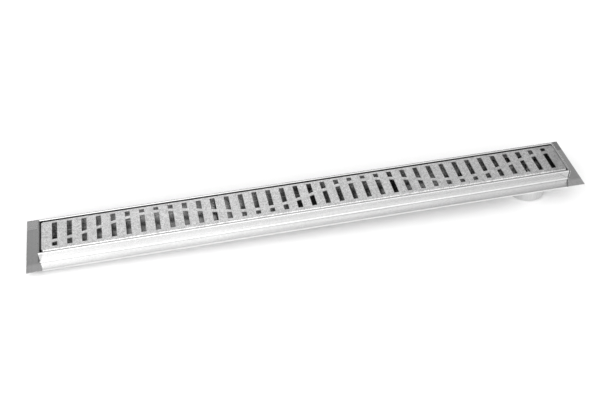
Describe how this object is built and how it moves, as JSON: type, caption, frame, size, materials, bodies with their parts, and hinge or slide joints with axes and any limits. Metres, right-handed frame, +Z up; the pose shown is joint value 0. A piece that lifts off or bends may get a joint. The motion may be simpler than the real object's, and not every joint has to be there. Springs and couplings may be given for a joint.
{
  "type": "channel drain",
  "caption": "Stainless linear shower channel drain: folded tray with raised rim, flat bedding flange and end outlet spigot, closed by a lift-out slotted grate with a wave of bridges.",
  "frame": {"origin": "middle of the flange's plan outline, in the plane of the outlet spigot's lower end", "axes": "+X along the channel towards the outlet end, +Y across it, +Z up out of the grate"},
  "size_m": [0.8, 0.1, 0.056],
  "materials": {
    "tray_steel": "bright rolled sheet, soft reflections",
    "end_steel": "bright rolled sheet, soft reflections",
    "grate_steel": "fine satin, slightly speckled",
    "spigot_steel": "bright drawn tube",
    "inner_steel": "bright rolled sheet",
    "black_rubber": "matt",
    "grey_plastic": "moulded, matt"
  },
  "bodies": {
    "root": {"channel_body": "tray_steel", "left_end_plate": "end_steel", "right_end_plate": "end_steel", "outlet_spigot": "spigot_steel", "centre_plug": "black_rubber", "grate_plate": "grate_steel", "trap_seal_ring": "black_rubber", "trap_cup": "grey_plastic", "trap_bell": "grey_plastic", "hair_strainer": "inner_steel", "strainer_knob": "inner_steel", "grate_crossbar_1": "inner_steel", "grate_seat_1": "inner_steel", "seat_rubber_1": "black_rubber", "grate_crossbar_2": "inner_steel", "grate_seat_2": "inner_steel", "seat_rubber_2": "black_rubber", "grate_crossbar_3": "inner_steel", "grate_seat_3": "inner_steel", "seat_rubber_3": "black_rubber", "grate_crossbar_4": "inner_steel", "grate_seat_4": "inner_steel", "seat_rubber_4": "black_rubber"}
  },
  "joints": []
}
